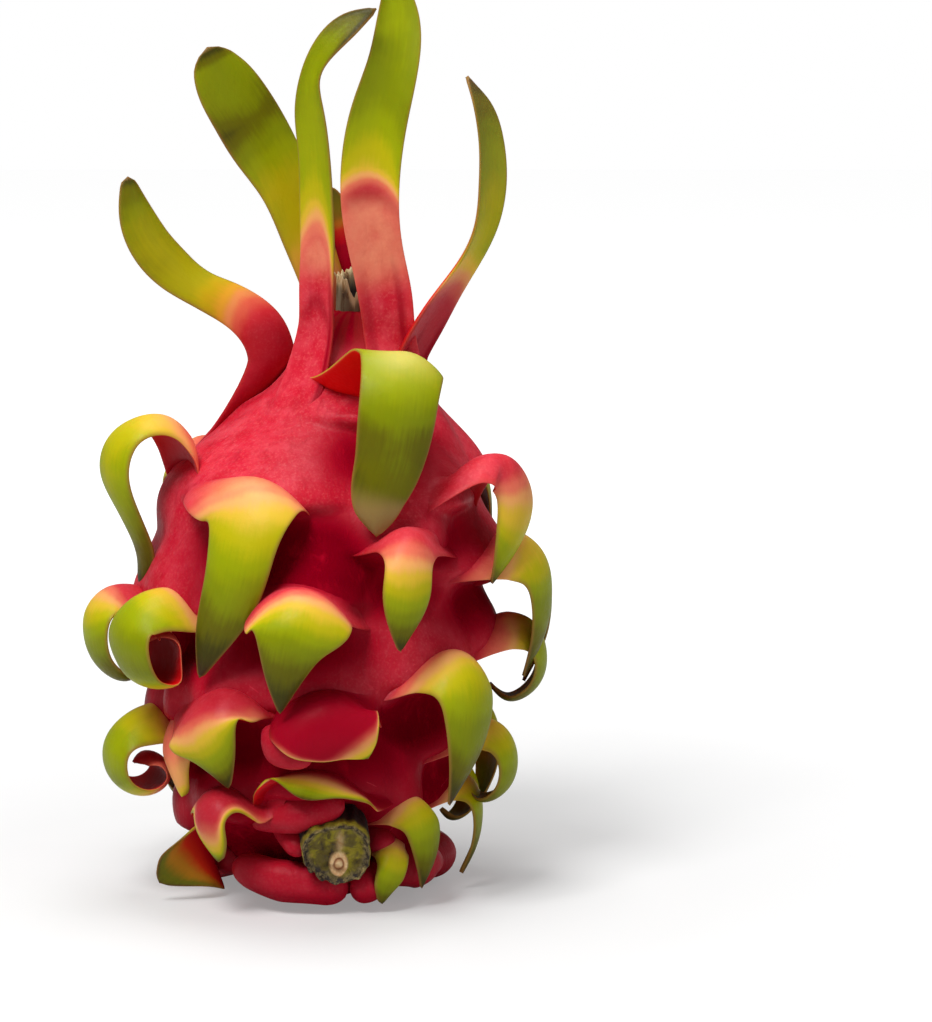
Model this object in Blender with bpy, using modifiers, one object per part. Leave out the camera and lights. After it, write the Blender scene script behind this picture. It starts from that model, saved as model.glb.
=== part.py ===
"""A whole dragon fruit as picked, standing on its base.

The fruit is one grown piece: an egg-shaped body whose skin runs out into leafy scales. Long straps
stand round the neck, broad scales drape or curl off the body, and fleshy lobes round the base carry it.
Two withered pieces sit in plain sockets: the cut end of the stalk and what is left of the flower.

Tables are in millimetres. X runs to the right, Y away from the side that shows the stalk, Z up.
The origin is the centre of the flat spot that the fruit stands on.
"""

import math

import bmesh
import bpy
import numpy as np

MM = 0.001

# Driving dimensions of the body: its outline as (radius, height), and the line its centre follows
BODY_OUTLINE = [
    (0, -1.5), (12, -1.4), (19.5, 1.5), (25.5, 9), (30, 21), (34.5, 37), (38.5, 57), (41, 80),
    (40, 96), (36, 106), (31, 112.5), (25.5, 118), (20, 123.5), (15, 130), (11.5, 137), (7.5, 142.5),
    (0, 144.5),
]
BODY_AXIS = [  # height, then the centre's x and y there
    (-2, 0, 0), (30, -1, 0.5), (60, 0, 4), (90, 1.5, 9), (110, 4.5, 13), (125, 7.5, 16), (150, 10, 21),
]
BODY_SIDES = 32
BODY_RINGS = 22

# The skin swells towards each scale: how far, and how quickly it falls off up and down the body
SWELL = 6.5
SWELL_LONG = 13.0
SWELL_SHORT = 3.5
SWELL_WIDTH = 1.05
STRAP_HILL = 0.55  # a strap lifts the skin by this share of what a hanging scale does

SCALE_COLUMNS = 4
MM_PER_ROW = 12.5
SCALE_THICKNESS = 2.6
THIN_END = 0.42  # share of the thickness left at the tip
MARGIN_CUP = 0.25  # the margins bend back by this share of the half width
ROOT_SWEEP = 0.35  # near the root they sweep back along the blade by this share of it
ROOT_SHARE = 0.3
MARGIN_CUP = 0.25  # the margins bend back by this share of the half width
ROOT_SWEEP = 0.35  # near the root they sweep back along the blade by this share of it
ROOT_SHARE = 0.3
MARGIN_CUP = 0.25  # the margins bend back by this share of the half width
ROOT_SWEEP = 0.35  # near the root they sweep back along the blade by this share of it
ROOT_SHARE = 0.3

# Each scale: the side of the fruit it grows on, as an azimuth in degrees (270 is the front), then the
# line its middle follows and half its width at each of those points. "twist" turns the blade about
# that line, from root to tip. "below" is how far down the skin still swells under it, and "hill" the
# share of the full swelling there.
STRAPS = {
    "left": dict(
        azimuth=112,
        path=[(-11.5, 19, 119), (-10.8, 16.5, 130), (-13.2, 14.3, 139), (-19.5, 12.7, 145.3),
              (-26.5, 11.5, 149.3), (-34, 11, 154), (-40, 10, 160), (-44.2, 10, 168),
              (-46.8, 11, 178)],
        half=[9, 6.4, 6.2, 5.8, 5.6, 5.8, 5.8, 4.8, 1.6],
    ),
    "upper_left": dict(
        azimuth=115,
        path=[(6, 24, 136), (2.5, 26, 149), (-2.5, 26, 163), (-7.5, 24, 176), (-12.8, 22, 186),
              (-19, 20, 196), (-24, 18, 204), (-27, 17, 210)],
        half=[7, 6.4, 6.8, 7.6, 8.8, 8.8, 7.2, 3.8],
    ),
    "middle": dict(
        azimuth=238,
        path=[(0.5, 6, 129), (1.4, 5, 140), (1.2, 4, 151), (1.5, 3, 161), (1.2, 2, 172),
              (0.6, 1, 185), (-0.2, 0, 195), (0.2, -1, 204), (4.6, -2, 211.5), (10, -2, 216.3),
              (15.8, -2, 219.6)],
        half=[7, 5.2, 5, 5.1, 5, 4.8, 4.5, 3, 3.6, 3.2, 0.6],
        twist=[0, 0, 0, 0, 30],
    ),
    "tallest": dict(
        azimuth=282,
        path=[(19.5, 4, 127), (18.5, 4, 138), (17.5, 3, 148), (15.6, 2, 158), (13.9, 1, 169),
              (14, 1, 181), (16.2, 2, 194), (19.5, 4, 206), (20.8, 7, 218), (19.5, 10, 230)],
        half=[8, 6.6, 6.8, 6.8, 7.1, 7.4, 7.3, 6.4, 5.2, 1.4],
    ),
    "right": dict(
        azimuth=326,
        path=[(19.5, 10, 122), (22, 8.5, 131.5), (26.6, 7, 140.5), (31.8, 6, 148.5),
              (37.6, 5, 157), (41.3, 4, 165), (43, 3, 177), (43, 3, 188), (41, 3, 197), (38, 4, 203)],
        half=[8, 7.2, 7.4, 6.6, 5.4, 5.4, 6, 5.2, 3.6, 0.5],
    ),
    "rear": dict(
        azimuth=80,
        path=[(9, 29, 133), (9, 31.5, 146), (8, 33, 156), (5.5, 33, 165), (2, 32, 174.5)],
        half=[7, 5.5, 5.5, 5, 1.6],
    ),
}
SEEN_SCALES = {
    "front_upper": dict(
        azimuth=284,
        path=[(14.5, -3, 121), (18.5, -14, 131.5), (22, -23, 136.5), (22.5, -31, 132),
              (21.5, -35, 121), (19.5, -35, 111), (17, -36, 103), (16.5, -36, 97.5), (16, -35, 94)],
        half=[15, 12.5, 10.5, 9.8, 9.6, 8.4, 6.6, 4, 0.5],
    ),
    "left_loop": dict(
        azimuth=214,
        path=[(-27, 3, 102.5), (-31.5, -2, 112.5), (-37, -6, 119), (-43.5, -9, 118.5),
              (-49, -11, 113), (-50, -12, 106), (-47.5, -11, 98), (-44.8, -8, 91), (-43, -5, 84),
              (-43.5, -3, 77)],
        half=[13, 9.5, 7.2, 7, 7, 6.6, 5.4, 4.6, 4, 2],
        below=12,
        hill=0.65,
    ),
    "front_left": dict(
        azimuth=246,
        path=[(-13.5, -16, 101.5), (-15, -26, 106.5), (-15, -36, 102.5), (-17, -41, 92.5),
              (-19.5, -42, 81), (-23.5, -39, 69.5), (-26.5, -35, 59.5)],
        half=[20, 16, 12, 9.2, 7.8, 4.8, 0.6],
    ),
    "front_middle": dict(
        azimuth=268,
        path=[(-3.5, -34, 77.5), (-2.5, -45, 82.5), (-2, -53, 79), (-3.5, -56, 71),
              (-5.5, -53, 61), (-6.5, -49, 53.5)],
        half=[14, 13, 12, 8.6, 4.2, 0.5],
    ),
    "front_right": dict(
        azimuth=292,
        path=[(22, -24, 90), (23.5, -34, 95.5), (24.5, -41, 91.5), (24, -44, 80), (22, -40, 67)],
        half=[13, 8.5, 6.2, 6, 0.8],
    ),
    "right_arch": dict(
        azimuth=328,
        path=[(30, -14, 100), (38.5, -14, 108.5), (46.5, -14, 110), (50.5, -14, 104),
              (51, -15, 95), (48, -16, 86), (44, -16, 79.5)],
        half=[14, 9.5, 8, 7.5, 7, 4.8, 0.8],
        hill=0.7,
    ),
    "right_shoulder": dict(
        azimuth=12,
        path=[(29, 14, 104), (35.5, 17, 109), (39.5, 20, 106.5), (43, 22, 99), (44, 22, 90)],
        half=[12, 10, 8, 6.5, 1],
        hill=0.5,
    ),
    "left_curl": dict(
        azimuth=212,
        path=[(-27.5, -12, 74.5), (-34, -21, 78), (-41.5, -27, 77), (-46, -30, 70.5),
              (-45, -31, 62.5), (-40.5, -28, 56.5), (-36, -25.5, 56.5), (-34.5, -24, 62.5),
              (-35.5, -24, 68.5), (-39.5, -25, 70), (-41.3, -26, 66)],
        half=[15, 11.5, 10.5, 10.8, 10.4, 10, 10, 9.4, 8.6, 7, 4],
    ),
    "left_curl_rear": dict(
        azimuth=204,
        path=[(-35, 2, 72), (-43, -3, 75.5), (-51, -7, 76), (-55.2, -10, 71), (-55.7, -11, 64.5),
              (-53, -10, 57.5), (-47.5, -8, 54), (-42.5, -6, 56)],
        half=[12, 9.5, 8.8, 8.8, 8.4, 7, 4.8, 1],
    ),
    "low_left_loop": dict(
        azimuth=200,
        path=[(-30, -2, 43.5), (-38.5, -8, 47), (-47, -12, 44), (-51, -14, 37.5), (-50.3, -14, 31),
              (-45.5, -13, 26.6), (-39.8, -11, 27), (-37, -10, 31), (-38.8, -10, 34.8)],
        half=[12, 10.5, 10, 9.8, 9.4, 9, 9, 8.4, 4],
    ),
    "low_left_rear": dict(
        azimuth=150,
        path=[(-27, 14, 31), (-34, 18, 30), (-37.5, 21, 26), (-37, 21, 20), (-34, 19, 16)],
        half=[9, 7, 6, 4.8, 1.2],
    ),
    "low_front_left": dict(
        azimuth=238,
        path=[(-18.5, -24, 52), (-21.5, -34, 56), (-24, -40, 53), (-25, -43, 48.5),
              (-22.5, -42, 41), (-19.6, -38, 33)],
        half=[14, 13, 11.5, 9, 5.2, 0.6],
        twist=[0, -12, -12],
    ),
    "low_left_flap": dict(
        azimuth=222,
        path=[(-25, -16, 48), (-31.5, -23, 47.5), (-34, -27, 40.5), (-31.5, -28, 28.5)],
        half=[8, 7, 5.6, 1.6],
    ),
    "low_front": dict(
        azimuth=278,
        path=[(4, -34, 53), (4, -44, 57), (6, -48.5, 54), (9, -50, 49.5), (12, -49.5, 45.5),
              (14.5, -47.5, 42.5)],
        half=[15, 14, 12.5, 10, 6.6, 1.6],
    ),
    "base_left": dict(
        azimuth=226,
        path=[(-15.5, -19, 24.5), (-20, -30, 30.5), (-23.5, -36, 30.5), (-25, -39, 26),
              (-24, -39, 20), (-22, -37, 14.5)],
        half=[13, 10.5, 7.4, 5.4, 4.4, 0.8],
    ),
    "over_stalk": dict(
        azimuth=265,
        path=[(2, -28, 31), (1, -37, 36.5), (0, -42, 36), (-1.5, -44.5, 31.5)],
        half=[17, 15, 13.5, 8],
    ),
    "beside_stalk": dict(
        azimuth=300,
        path=[(17, -20, 16), (19.5, -27.5, 17), (20, -31.5, 13), (18.5, -32.5, 7), (17, -31, 2.5)],
        half=[5.4, 4.6, 3.8, 3.2, 0.8],
    ),
    "foot_left": dict(
        azimuth=200,
        path=[(-22, -8, 18.5), (-27, -15, 16), (-31, -19, 12), (-35, -20, 8), (-38.4, -20, 5)],
        half=[12, 10.6, 8.6, 5.6, 1.2],
        twist=[60, 84],
    ),
}

# On the sides that turn away, scales follow a rule: staggered tiers of (height, size, azimuths), each
# scale in one of two habits, given as (outwards, upwards) from the skin where it grows
REAR_TIERS = [
    (122, 0.95, [80]),
    (104, 1.1, [50, 95, 140]),
    (84, 1.05, [340, 15, 54, 93, 131]),
    (62, 1.0, [320, 2, 47, 92, 137]),
    (41, 0.85, [342, 27, 72, 117]),
    (24, 0.7, [308, 350, 30, 68, 104, 138]),
]
HABITS = {
    "drape": dict(
        line=[(-5, -2), (6, 4.5), (13, 1), (16, -9), (14.5, -20), (10, -30)],
        half=[14, 12, 9.5, 7.5, 4.6, 0.6],
    ),
    "curl": dict(
        line=[(-5, -2), (6, 3.5), (14, 2), (18, -6), (15.5, -15), (9, -18), (4.5, -14)],
        half=[13, 10, 8.5, 7.6, 6, 3.6, 0.6],
    ),
}
REAR_SEED = 7

# Fleshy lobes round the base: centre, radii, and turn about Z in degrees
BASE_LOBES = [
    ((-6, -28.5, 7.4), (13.3, 7.2, 6.0), 6),
    ((-3.5, -33.8, 25.2), (10.5, 4.2, 4.2), -20),
    ((-6, -42, 47.6), (6.5, 4.4, 5.4), -28),
    ((13, -27.5, 6.2), (4.4, 6.5, 5.2), 0),
    ((17, -25, 16.5), (3.6, 6, 3.8), 20),
    ((23.5, -16, 9), (6.5, 8.5, 7.5), -35),
    ((-22, 4, 6.5), (8, 11, 7.5), 10),
    ((-9, 24, 6), (12, 8, 7), 20),
    ((12, 23, 6), (11, 8, 7), -25),
    ((26, 4, 6.5), (7, 10, 7.5), 0),
]

STALK_ROOT = (4.7, -17, 23)
STALK_END = (6.7, -37.5, 16.6)
STALK_RADIUS = 8.6
STALK_SIDES = 20

FLOWER_FOOT = (9.6, 19.6, 135.5)
FLOWER_TOP = (9.7, 20.5, 154)
FLOWER_RADIUS = 5.2
FLOWER_SIDES = 16

SOCKET_GAP = 0.35
FLOOR_CUT = 30.0


def spline(knots, values, at):
    """A natural cubic spline through the rows of values at the knots, read at each number in at."""
    knots = np.asarray(knots, float)
    values = np.asarray(values, float)
    gaps = np.diff(knots)
    count = len(knots)
    system = np.eye(count)
    pull = np.zeros_like(values)
    for i in range(1, count - 1):
        system[i, i - 1:i + 2] = gaps[i - 1], 2 * (gaps[i - 1] + gaps[i]), gaps[i]
        ahead = (values[i + 1] - values[i]) / gaps[i]
        behind = (values[i] - values[i - 1]) / gaps[i - 1]
        pull[i] = 6 * (ahead - behind)
    bend = np.linalg.solve(system, pull)
    i = np.clip(np.searchsorted(knots, at, side="right") - 1, 0, count - 2)
    gap = gaps[i][:, None]
    left = (knots[i + 1] - at)[:, None]
    right = (at - knots[i])[:, None]
    curved = (bend[i] * left**3 + bend[i + 1] * right**3) / (6 * gap)
    before = (values[i] / gap - bend[i] * gap / 6) * left
    after = (values[i + 1] / gap - bend[i + 1] * gap / 6) * right
    return curved + before + after


def chord_knots(points):
    """The share of the way along the points at which each one lies."""
    steps = np.linalg.norm(np.diff(np.asarray(points, float), axis=0), axis=1)
    knots = np.r_[0, np.cumsum(steps)]
    return knots / knots[-1]


def body_centre(height):
    """x and y of the body's centre at each height."""
    axis = np.array(BODY_AXIS, float)
    return spline(axis[:, 0], axis[:, 1:], np.clip(height, axis[0, 0], axis[-1, 0]))


def body_radius(height):
    outline = np.array(BODY_OUTLINE, float)
    return np.interp(height, outline[:, 1], outline[:, 0])


def on_skin(azimuth, height, out, up):
    """A point out from the bare skin and up from this place on it."""
    x, y = body_centre(np.array([float(height)]))[0]
    reach = body_radius(height) + out
    turn = math.radians(azimuth)
    return (x + reach * math.cos(turn), y + reach * math.sin(turn), height + up)


def rear_scales():
    """The scales that follow the rule, by name."""
    draw = np.random.default_rng(REAR_SEED)
    made = {}
    for tier, (height, size, azimuths) in enumerate(REAR_TIERS):
        for place, azimuth in enumerate(azimuths):
            habit = HABITS["curl" if (tier + place) % 3 == 1 else "drape"]
            turn = azimuth + draw.uniform(-4, 4)
            lift = height + draw.uniform(-2.5, 2.5)
            grown = size * draw.uniform(0.92, 1.1)
            lean = draw.uniform(-9, 9)
            path = [
                on_skin(turn + lean * share, lift, out * grown, up * grown)
                for share, (out, up) in zip(np.linspace(0, 1, len(habit["line"])), habit["line"])
            ]
            path = [(x, y, max(z, 2.0)) for x, y, z in path]
            made[f"rear_{tier}_{place}"] = dict(
                azimuth=turn, path=path, half=[half * grown for half in habit["half"]]
            )
    return made


def seat(scale):
    """Azimuth in radians and height of the place on the skin where a scale grows."""
    x, y, z = scale["path"][0]
    cx, cy = body_centre(np.array([float(z)]))[0]
    return math.atan2(y - cy, x - cx), z


def swelling(azimuth, height, radius, draped, upright):
    """How far the skin stands out at each point: a soft hill over each seat, run together where they meet."""
    total = np.zeros_like(azimuth)
    kinds = ((draped, SWELL_LONG, SWELL_SHORT, 1.0), (upright, SWELL_SHORT, SWELL_LONG, STRAP_HILL))
    for scales, above, below, hill in kinds:
        for scale in scales:
            turn, level = seat(scale)
            aside = radius * np.angle(np.exp(1j * (azimuth - turn))) / (SWELL_WIDTH * scale["half"][0])
            rise = height - level
            along = rise / np.where(rise > 0, above, scale.get("below", below))
            total += scale.get("hill", hill) ** 4 * np.exp(-4 * (aside**2 + along**2))
    return SWELL * total**0.25


def body_mesh(draped, upright):
    """A round ball whose every point is carried to the outline, then out by the swelling there."""
    mesh = bpy.data.meshes.new("fruit")
    ball = bmesh.new()
    bmesh.ops.create_uvsphere(ball, u_segments=BODY_SIDES, v_segments=BODY_RINGS, radius=1)
    points = np.array([vert.co for vert in ball.verts])
    share = np.arccos(np.clip(-points[:, 2], -1, 1)) / math.pi
    outline = spline(chord_knots(BODY_OUTLINE), BODY_OUTLINE, share)
    radius, height = np.maximum(outline[:, 0], 0), outline[:, 1]
    azimuth = np.arctan2(points[:, 1], points[:, 0])
    full = radius + swelling(azimuth, height, radius, draped, upright) * np.clip(radius / 10, 0, 1)
    centre = body_centre(height)
    placed = np.c_[centre[:, 0] + full * np.cos(azimuth), centre[:, 1] + full * np.sin(azimuth), height]
    for vert, place in zip(ball.verts, placed * MM):
        vert.co = place
    ball.to_mesh(mesh)
    ball.free()
    return mesh


def scale_points(scale, across, along):
    """Points on a scale's mid surface, for numbers across from -1 to 1 and along from 0 to 1."""
    knots = chord_knots(scale["path"])
    step = 1e-4
    middle = spline(knots, scale["path"], along)
    ahead = spline(knots, scale["path"], np.clip(along + step, 0, 1))
    behind = spline(knots, scale["path"], np.clip(along - step, 0, 1))
    forward = (ahead - behind) / np.linalg.norm(ahead - behind, axis=1)[:, None]
    turn = math.radians(scale["azimuth"])
    level = np.array([-math.sin(turn), math.cos(turn), 0])
    side = level - (forward @ level)[:, None] * forward
    side /= np.linalg.norm(side, axis=1)[:, None]
    twists = scale.get("twist", [0, 0])
    twist = np.radians(np.interp(along, np.linspace(0, 1, len(twists)), twists))[:, None]
    side = side * np.cos(twist) + np.cross(forward, side) * np.sin(twist)
    face = np.cross(side, forward)
    half = np.interp(along, knots, scale["half"])[:, None]
    swept = ROOT_SWEEP * np.clip(1 - along / ROOT_SHARE, 0, 1)[:, None]
    edge = across[:, None]
    return middle + side * half * edge + (face * MARGIN_CUP - forward * swept) * half * edge**2


def scale_object(name, scale, collection):
    """A grid laid over the scale's mid surface, in triangles, and thickened, thinner towards the tip."""
    knots = np.linalg.norm(np.diff(np.array(scale["path"], float), axis=0), axis=1)
    rows = max(4, round(knots.sum() / MM_PER_ROW))
    mesh = bpy.data.meshes.new(name)
    grid = bmesh.new()
    bmesh.ops.create_grid(grid, x_segments=SCALE_COLUMNS, y_segments=rows, size=1)
    flat = np.array([vert.co for vert in grid.verts])
    along = (flat[:, 1] + 1) / 2
    for vert, place in zip(grid.verts, scale_points(scale, flat[:, 0], along) * MM):
        vert.co = place
    bmesh.ops.triangulate(grid, faces=grid.faces)
    grid.to_mesh(mesh)
    grid.free()
    obj = bpy.data.objects.new(name, mesh)
    collection.objects.link(obj)
    group = obj.vertex_groups.new(name="fleshy")
    for index, share in enumerate(along):
        group.add([index], float(1 - share), "REPLACE")
    wall = obj.modifiers.new("wall", "SOLIDIFY")
    wall.thickness = SCALE_THICKNESS * MM
    wall.offset = 0
    wall.vertex_group = group.name
    wall.thickness_vertex_group = THIN_END
    return obj


def lobe_object(name, centre, radii, turn, collection):
    """A fleshy lobe: a ball stretched to its radii and turned about Z."""
    mesh = bpy.data.meshes.new(name)
    ball = bmesh.new()
    bmesh.ops.create_uvsphere(ball, u_segments=12, v_segments=8, radius=1)
    bmesh.ops.scale(ball, vec=[radius * MM for radius in radii], verts=ball.verts)
    ball.to_mesh(mesh)
    ball.free()
    obj = bpy.data.objects.new(name, mesh)
    obj.location = [value * MM for value in centre]
    obj.rotation_euler = (0, 0, math.radians(turn))
    collection.objects.link(obj)
    return obj


def rod_object(name, foot, top, radius, sides, collection):
    """A cylinder from foot to top, each end capped with a fan of triangles."""
    foot, top = np.array(foot, float), np.array(top, float)
    along = top - foot
    mesh = bpy.data.meshes.new(name)
    rod = bmesh.new()
    bmesh.ops.create_cone(
        rod, cap_ends=True, cap_tris=True, segments=sides,
        radius1=radius * MM, radius2=radius * MM, depth=float(np.linalg.norm(along)) * MM,
    )
    rod.to_mesh(mesh)
    rod.free()
    obj = bpy.data.objects.new(name, mesh)
    obj.location = (foot + along / 2) * MM
    obj.rotation_euler = (
        0,
        math.acos(along[2] / np.linalg.norm(along)),
        math.atan2(along[1], along[0]),
    )
    collection.objects.link(obj)
    return obj


def box_object(name, low, high, collection):
    mesh = bpy.data.meshes.new(name)
    box = bmesh.new()
    bmesh.ops.create_cube(box, size=1)
    size = [(b - a) * MM for a, b in zip(low, high)]
    bmesh.ops.scale(box, vec=size, verts=box.verts)
    box.to_mesh(mesh)
    box.free()
    obj = bpy.data.objects.new(name, mesh)
    obj.location = [(a + b) / 2 * MM for a, b in zip(low, high)]
    collection.objects.link(obj)
    return obj


def combine(target, tools, operation):
    """Joins the collection's objects to the target, or cuts them from it, and removes them."""
    modifier = target.modifiers.new(operation.lower(), "BOOLEAN")
    modifier.operation = operation
    modifier.operand_type = "COLLECTION"
    modifier.collection = tools
    bpy.context.view_layer.update()
    graph = bpy.context.evaluated_depsgraph_get()
    joined = bpy.data.meshes.new_from_object(target.evaluated_get(graph))
    target.modifiers.clear()
    target.data = joined
    for obj in list(tools.objects):
        bpy.data.objects.remove(obj)


def material(name, colour, roughness):
    made = bpy.data.materials.new(name)
    made.use_nodes = True
    shader = made.node_tree.nodes["Principled BSDF"]
    shader.inputs["Base Color"].default_value = (*colour, 1)
    shader.inputs["Roughness"].default_value = roughness
    shader.inputs["Metallic"].default_value = 0
    return made


def finish(obj, surface, flat_angle=40):
    obj.data.materials.clear()
    obj.data.materials.append(surface)
    obj.data.shade_smooth()
    obj.data.set_sharp_from_angle(angle=math.radians(flat_angle))


def make_fruit(parts, tools):
    upright = list(STRAPS.values())
    rear = rear_scales()
    draped = [*SEEN_SCALES.values(), *rear.values()]
    fruit = bpy.data.objects.new("fruit", body_mesh(draped, upright))
    parts.objects.link(fruit)
    for name, scale in {**STRAPS, **SEEN_SCALES, **rear}.items():
        scale_object(name, scale, tools)
    for number, (centre, radii, turn) in enumerate(BASE_LOBES):
        lobe_object(f"lobe_{number}", centre, radii, turn, tools)
    combine(fruit, tools, "UNION")
    rod_object("stalk_socket", STALK_ROOT, STALK_END, STALK_RADIUS + SOCKET_GAP, STALK_SIDES, tools)
    rod_object("flower_socket", FLOWER_FOOT, FLOWER_TOP, FLOWER_RADIUS + SOCKET_GAP, FLOWER_SIDES, tools)
    box_object("floor", (-90, -90, -FLOOR_CUT), (90, 90, 0), tools)
    combine(fruit, tools, "DIFFERENCE")
    finish(fruit, material("skin", (0.55, 0.06, 0.10), 0.45))
    return fruit


def shift_towards(start, end, distance):
    """The point this far from start on the way to end."""
    start, end = np.array(start, float), np.array(end, float)
    return start + (end - start) * distance / np.linalg.norm(end - start)


def make_stalk(parts):
    """The cut end of the stalk, in its socket."""
    foot = shift_towards(STALK_ROOT, STALK_END, SOCKET_GAP)
    stalk = rod_object("stalk_end", foot, STALK_END, STALK_RADIUS, STALK_SIDES, parts)
    finish(stalk, material("cut_stalk", (0.20, 0.16, 0.05), 0.7))
    return stalk


def make_flower_remnant(parts):
    """The withered flower: a stub with a torn rim and a hollowed top, in its socket."""
    foot = shift_towards(FLOWER_FOOT, FLOWER_TOP, SOCKET_GAP)
    flower = rod_object("flower_remnant", foot, FLOWER_TOP, FLOWER_RADIUS, FLOWER_SIDES, parts)
    top = max(vert.co.z for vert in flower.data.vertices)
    for vert in flower.data.vertices:
        if vert.co.z < top - 1e-6:
            continue
        out = math.hypot(vert.co.x, vert.co.y)
        around = math.atan2(vert.co.y, vert.co.x)
        torn = 2.2 * math.sin(3 * around + 1) + 1.4 * math.sin(7 * around)
        vert.co.z += (torn if out > 1e-6 else -5.0) * MM
    finish(flower, material("dry_flower", (0.45, 0.36, 0.20), 0.85))
    return flower


def main():
    for obj in list(bpy.data.objects):
        bpy.data.objects.remove(obj)
    parts = bpy.data.collections.new("dragon_fruit")
    tools = bpy.data.collections.new("to_join_or_cut")
    for collection in (parts, tools):
        bpy.context.scene.collection.children.link(collection)
    make_fruit(parts, tools)
    make_stalk(parts)
    make_flower_remnant(parts)
    tools.hide_render = True


main()
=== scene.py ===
import math

import bpy
import numpy as np
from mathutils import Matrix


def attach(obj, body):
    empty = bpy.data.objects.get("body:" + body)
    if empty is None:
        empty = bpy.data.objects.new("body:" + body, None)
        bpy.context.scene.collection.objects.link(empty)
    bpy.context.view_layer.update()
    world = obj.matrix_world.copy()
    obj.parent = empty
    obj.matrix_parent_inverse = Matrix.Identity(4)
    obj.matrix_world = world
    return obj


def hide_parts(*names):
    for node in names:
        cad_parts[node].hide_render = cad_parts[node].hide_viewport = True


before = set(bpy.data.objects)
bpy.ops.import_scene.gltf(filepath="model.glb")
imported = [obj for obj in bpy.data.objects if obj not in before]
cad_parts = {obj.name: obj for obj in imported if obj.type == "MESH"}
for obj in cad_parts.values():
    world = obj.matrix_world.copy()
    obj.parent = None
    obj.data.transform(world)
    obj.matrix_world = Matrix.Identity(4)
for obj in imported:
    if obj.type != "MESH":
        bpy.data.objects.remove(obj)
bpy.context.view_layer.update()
mm = 0.001
print("frame loaded")


# Curves and grids

# A natural cubic spline through the rows of values at the knots: the bends solve one linear system,
# and each number in `at` then reads the cubic of its own gap
def spline(knots, values, at):
    knots = np.asarray(knots, float)
    values = np.asarray(values, float)
    gaps = np.diff(knots)
    count = len(knots)
    system = np.eye(count)
    pull = np.zeros_like(values)
    for i in range(1, count - 1):
        system[i, i - 1:i + 2] = gaps[i - 1], 2 * (gaps[i - 1] + gaps[i]), gaps[i]
        ahead = (values[i + 1] - values[i]) / gaps[i]
        behind = (values[i] - values[i - 1]) / gaps[i - 1]
        pull[i] = 6 * (ahead - behind)
    bend = np.linalg.solve(system, pull)
    i = np.clip(np.searchsorted(knots, at, side="right") - 1, 0, count - 2)
    gap = gaps[i][:, None]
    left = (knots[i + 1] - at)[:, None]
    right = (at - knots[i])[:, None]
    curved = (bend[i] * left**3 + bend[i + 1] * right**3) / (6 * gap)
    fromLeft = (values[i] / gap - bend[i] * gap / 6) * left
    fromRight = (values[i + 1] / gap - bend[i + 1] * gap / 6) * right
    return curved + fromLeft + fromRight


def chordKnots(points):
    steps = np.linalg.norm(np.diff(np.asarray(points, float), axis=0), axis=1)
    knots = np.r_[0, np.cumsum(steps)]
    return knots / knots[-1]


def smoothStep(x):
    x = np.clip(x, 0, 1)
    return x * x * (3 - 2 * x)


def unit(vectors):
    return vectors / np.maximum(np.linalg.norm(vectors, axis=-1, keepdims=True), 1e-12)


# Smooth wobble in -1..1: a few sine waves with seeded directions and phases, summed over the two inputs
def wobble(a, b, seed, waves=6):
    draw = np.random.default_rng(seed)
    total = np.zeros(np.broadcast(a, b).shape)
    for _ in range(waves):
        heading, phase, pace = draw.uniform(0, 2 * math.pi, 2).tolist() + [draw.uniform(0.6, 1.7)]
        total = total + np.sin(pace * (math.cos(heading) * a + math.sin(heading) * b) + phase)
    return total / math.sqrt(waves)


# Faces of a tube of rings, closed by a fan at each end: the points are all rings, then the two end points
def tubeFaces(rings, around):
    row = np.arange(around)
    ahead = (row + 1) % around
    starts = (np.arange(rings - 1) * around)[:, None]
    quads = np.stack([starts + row, starts + ahead, starts + around + ahead, starts + around + row], -1)
    first, last, top = rings * around, rings * around + 1, (rings - 1) * around
    firstFan = [[first, a, b] for a, b in zip(ahead, row)]
    lastFan = [[last, top + a, top + b] for a, b in zip(row, ahead)]
    return quads.reshape(-1, 4).tolist() + firstFan + lastFan


# Whether the faces point outwards: six times the volume inside is then above zero
def turnedOut(points, faces):
    quads = np.array([f for f in faces if len(f) == 4])
    corner = points[quads]
    flow = np.einsum("ij,ij->i", corner[:, 0], np.cross(corner[:, 1], corner[:, 2]))
    flow += np.einsum("ij,ij->i", corner[:, 0], np.cross(corner[:, 2], corner[:, 3]))
    return flow.sum() > 0


# Makes the mesh of a closed tube of rings given in millimetres, with its point attributes; one that isn't
# given counts as 0 in the material
def makeTube(name, rings, material, node, values=None, uv=None):
    count, around = rings.shape[:2]
    points = np.vstack([rings.reshape(-1, 3), rings[0].mean(0), rings[-1].mean(0)]) * mm
    faces = tubeFaces(count, around)
    if not turnedOut(points, faces):
        faces = [face[::-1] for face in faces]
    mesh = bpy.data.meshes.new(name)
    mesh.from_pydata(points.tolist(), [], faces)
    for key, value in (values or {}).items():
        full = np.broadcast_to(value, rings.shape[:2])
        flat = np.r_[full.ravel(), full[0].mean(), full[-1].mean()]
        mesh.attributes.new(key, "FLOAT", "POINT").data.foreach_set("value", flat.astype(np.float32))
    if uv is not None:
        flat = np.vstack([uv.reshape(-1, 2), uv[0].mean(0), uv[-1].mean(0)])
        corners = np.empty(len(mesh.loops), int)
        mesh.loops.foreach_get("vertex_index", corners)
        mesh.uv_layers.new(name="lay").data.foreach_set("uv", flat[corners].ravel().astype(np.float32))
    mesh.validate()
    mesh.shade_smooth()
    mesh.materials.append(material)
    piece = bpy.data.objects.new(name, mesh)
    bpy.context.scene.collection.objects.link(piece)
    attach(piece, "root")
    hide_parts(node)
    return piece


# Materials

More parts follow.
